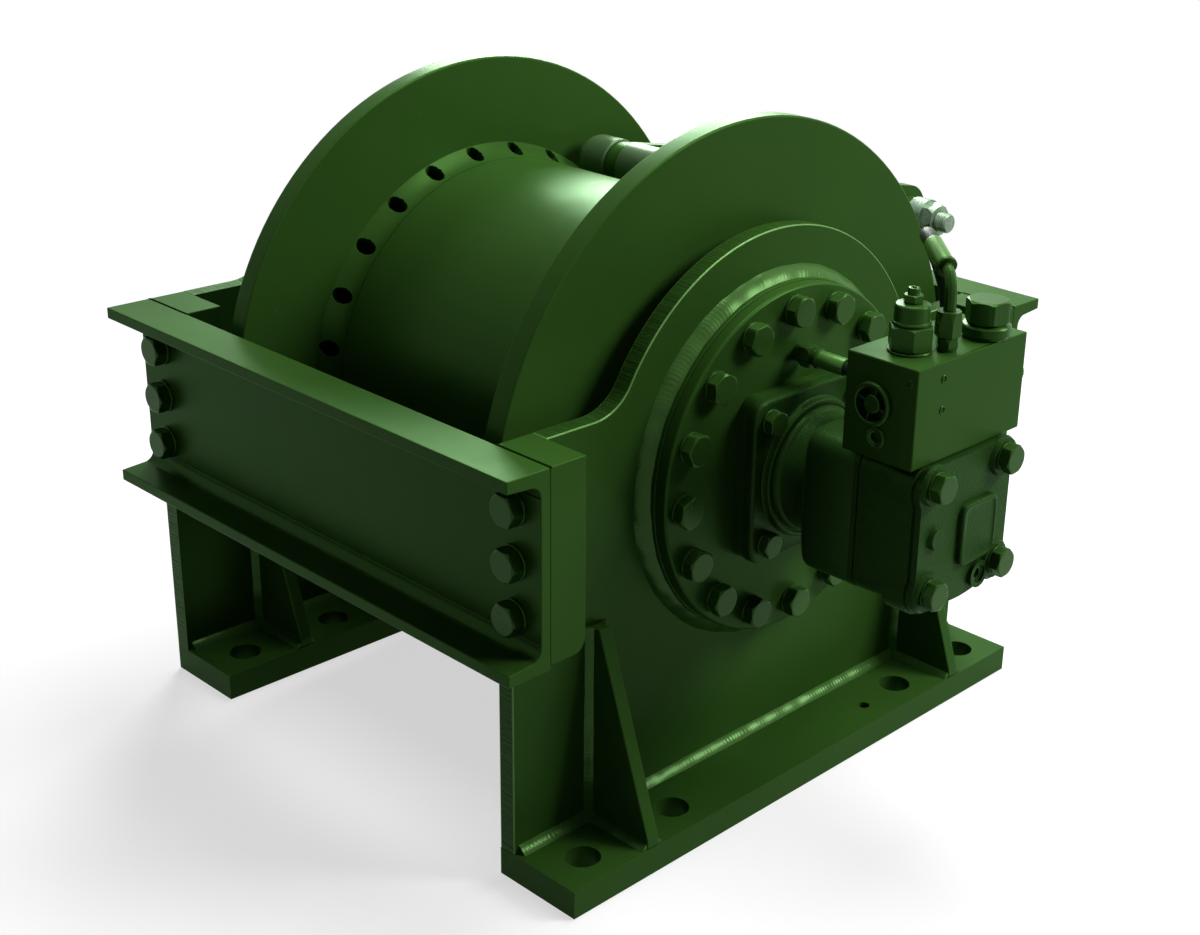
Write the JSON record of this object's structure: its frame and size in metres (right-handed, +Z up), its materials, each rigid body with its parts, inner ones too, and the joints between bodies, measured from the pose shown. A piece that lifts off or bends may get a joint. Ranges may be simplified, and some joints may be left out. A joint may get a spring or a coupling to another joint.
{
  "type": "hydraulic winch",
  "caption": "Hydraulic winch with a smooth flanged drum between welded side frames, a bolted-on motor with a valve block, and a sprung press roller.",
  "frame": {"origin": "centre of the anchor bolt pattern on the floor", "axes": "+X along the drum axis towards the motor, +Y to the rear where the press roller is hung, +Z up"},
  "size_m": [0.8786, 0.819, 0.701],
  "materials": {
    "green_paint": "satin industrial enamel",
    "weld_paint": "painted weld bead",
    "cast_paint": "painted casting with fine grain",
    "bolt_paint": "overpainted fasteners",
    "galvanised": "zinc plated, satin",
    "ground_steel": "ground",
    "bearing_steel": "polished",
    "gear_steel": "case hardened, oiled",
    "cast_inner": "machined casting",
    "spring_steel": "oil tempered",
    "friction_lining": "sintered lining",
    "seal_rubber": "nitrile",
    "hose_rubber": "smooth hydraulic hose cover"
  },
  "bodies": {
    "frame": {"near_side_plate": "green_paint", "far_side_plate": "green_paint", "foot_plates": "green_paint", "gussets": "green_paint", "end_blocks": "green_paint", "front_channel": "green_paint", "rear_channel": "green_paint", "channel_bolts": "bolt_paint", "frame_welds": "weld_paint", "seat_ring": "green_paint", "gear_cover": "green_paint", "cover_bolts": "bolt_paint", "gear_hub": "cast_inner", "planet_carrier": "cast_inner", "carrier_bolts": "ground_steel", "brake_plates": "ground_steel", "brake_springs": "spring_steel", "bearing_rings_on_frame": "bearing_steel", "shaft_seal": "seal_rubber", "bearing_housing": "cast_paint", "bearing_end_cap": "cast_paint", "bearing_bolts": "bolt_paint", "motor_adapter": "green_paint", "motor_housing": "cast_paint", "motor_gear_section": "cast_paint", "motor_end_cover": "cast_paint", "motor_tie_bolts": "bolt_paint", "motor_flange_bolts": "bolt_paint", "valve_block": "green_paint", "relief_cartridge": "bolt_paint", "valve_plugs": "bolt_paint", "hose_fittings": "galvanised", "brake_hose": "hose_rubber", "roller_lugs": "green_paint", "pivot_shaft": "galvanised", "pivot_nuts": "galvanised", "roller_springs": "spring_steel"},
    "drum": {"bearing_rings_on_drum": "bearing_steel", "hub_seal": "seal_rubber", "ring_gear_housing": "cast_inner", "housing_end_plate": "cast_inner", "drum_web": "green_paint", "drum_bolts": "ground_steel", "drum_barrel": "green_paint", "near_flange": "green_paint", "far_flange": "green_paint", "flange_collar": "green_paint", "stub_shaft": "ground_steel"},
    "hub_bearing_cage": {"hub_bearing_balls": "bearing_steel"},
    "far_bearing_cage": {"far_bearing_balls": "bearing_steel"},
    "input": {"input_shaft": "gear_steel", "brake_friction_discs": "friction_lining"},
    "planet_1": {"planet_gear_1": "gear_steel"},
    "planet_2": {"planet_gear_2": "gear_steel"},
    "planet_3": {"planet_gear_3": "gear_steel"},
    "piston": {"brake_piston": "ground_steel"},
    "roller_frame": {"pivot_tube": "green_paint", "roller_arms": "green_paint", "roller_axle": "ground_steel"},
    "rollers": {"press_rollers": "galvanised"}
  },
  "joints": [
    {"name": "drum_spin", "type": "hinge", "parent": "frame", "child": "drum", "pos_m": [0, 0, 0.358], "axis": [1, 0, 0], "continuous": true},
    {"name": "input_spin", "type": "hinge", "parent": "frame", "child": "input", "pos_m": [0, 0, 0.358], "axis": [1, 0, 0], "continuous": true},
    {"name": "hub_bearing_spin", "type": "hinge", "parent": "frame", "child": "hub_bearing_cage", "pos_m": [0, 0, 0.358], "axis": [1, 0, 0], "continuous": true},
    {"name": "far_bearing_spin", "type": "hinge", "parent": "frame", "child": "far_bearing_cage", "pos_m": [0, 0, 0.358], "axis": [1, 0, 0], "continuous": true},
    {"name": "planet_1_spin", "type": "hinge", "parent": "frame", "child": "planet_1", "pos_m": [0, 0, 0.457], "axis": [1, 0, 0], "continuous": true},
    {"name": "planet_2_spin", "type": "hinge", "parent": "frame", "child": "planet_2", "pos_m": [0, -0.08574, 0.3085], "axis": [1, 0, 0], "continuous": true},
    {"name": "planet_3_spin", "type": "hinge", "parent": "frame", "child": "planet_3", "pos_m": [0, 0.08574, 0.3085], "axis": [1, 0, 0], "continuous": true},
    {"name": "brake_release", "type": "slide", "parent": "frame", "child": "piston", "axis": [1, 0, 0], "range_m": [0, 0.002], "stiffness_N_per_m": 20000, "springref_m": -0.001, "deforming": ["brake_springs"]},
    {"name": "roller_frame_lift", "type": "hinge", "parent": "frame", "child": "roller_frame", "pos_m": [0, 0.38, 0.524], "axis": [-1, 0, 0], "range_deg": [0, 28], "stiffness_Nm_per_rad": 25, "springref_deg": -34.38, "deforming": ["roller_springs"]},
    {"name": "press_roller_spin", "type": "hinge", "parent": "roller_frame", "child": "rollers", "pos_m": [0, 0.15658, 0.56807], "axis": [1, 0, 0], "continuous": true}
  ],
  "couplings": [
    {"joint": "input_spin", "follows": "drum_spin", "ratio": -5},
    {"joint": "hub_bearing_spin", "follows": "drum_spin", "ratio": 0.53004},
    {"joint": "far_bearing_spin", "follows": "drum_spin", "ratio": 0.42727},
    {"joint": "planet_1_spin", "follows": "drum_spin", "ratio": 2.5},
    {"joint": "planet_2_spin", "follows": "drum_spin", "ratio": 2.5},
    {"joint": "planet_3_spin", "follows": "drum_spin", "ratio": 2.5}
  ]
}
